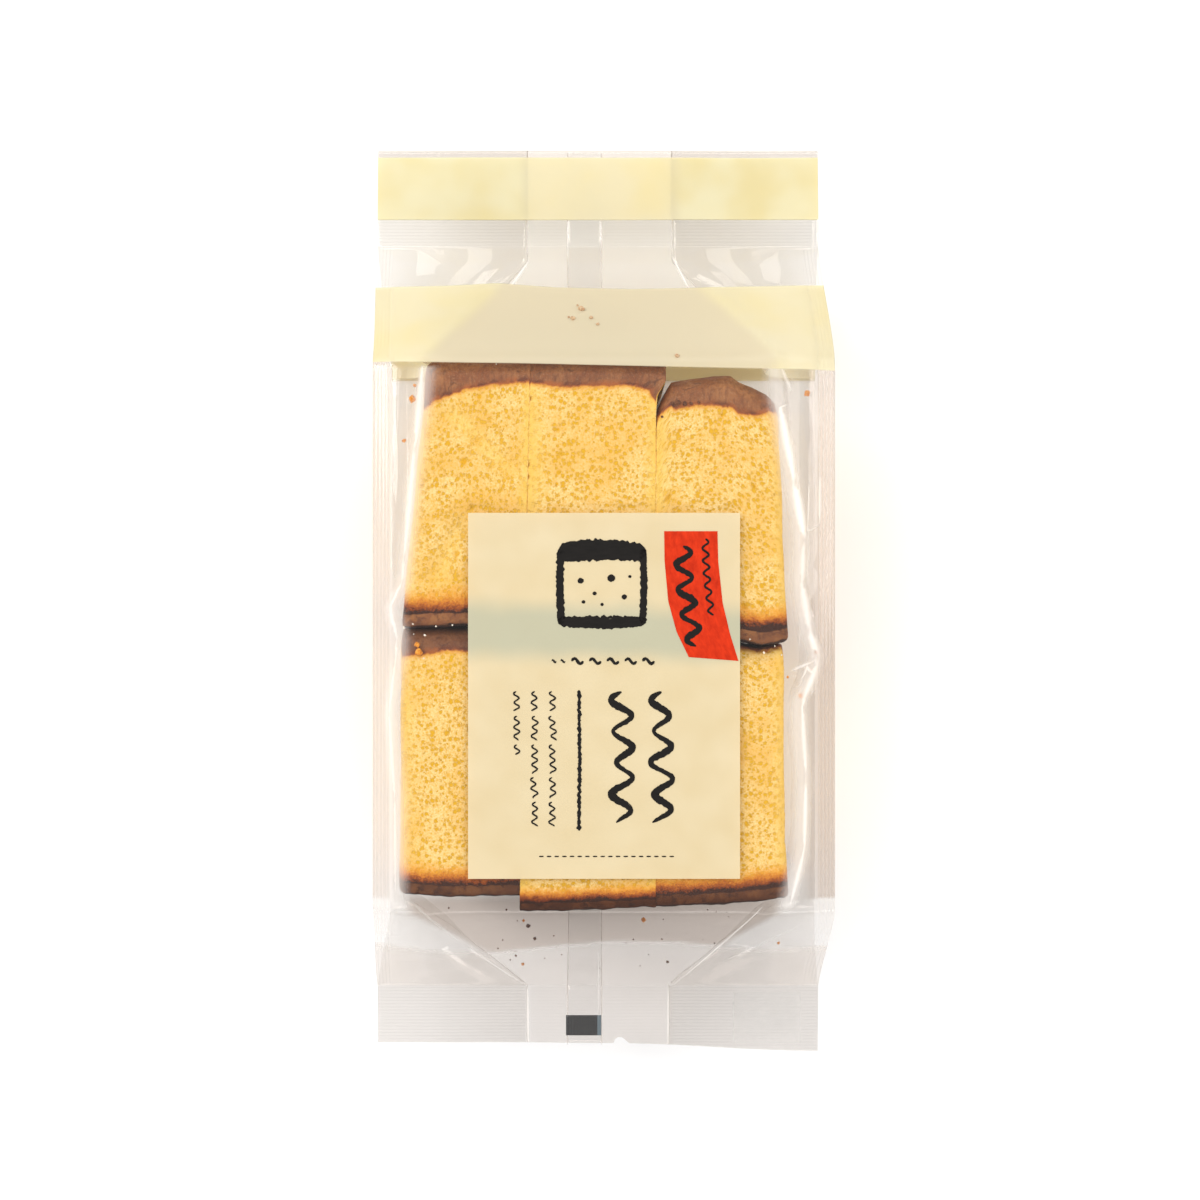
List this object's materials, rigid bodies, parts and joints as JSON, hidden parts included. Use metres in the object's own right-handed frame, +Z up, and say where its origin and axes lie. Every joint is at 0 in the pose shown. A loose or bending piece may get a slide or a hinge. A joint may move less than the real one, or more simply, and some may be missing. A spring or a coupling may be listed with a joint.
{
  "type": "sealed bag of sliced castella sponge cake",
  "caption": "Clear side-gusseted bag of sliced castella sponge cake with a pale label, heat-sealed flat at both ends and lying on its back.",
  "frame": {"origin": "middle of the bag's bounding box, on the flat back panel that it lies on", "axes": "+X to the right across the bag, +Y along it towards the printed end, +Z up out of the front panel with the label"},
  "size_m": [0.1166, 0.2354, 0.0626],
  "materials": {
    "clear_film_over_sponge": "clear glossy film with the yellow sponge showing through",
    "label_paper": "smooth cream, slightly see-through"
  },
  "bodies": {
    "root": {"bag": "clear_film_over_sponge", "label": "label_paper"}
  },
  "joints": []
}
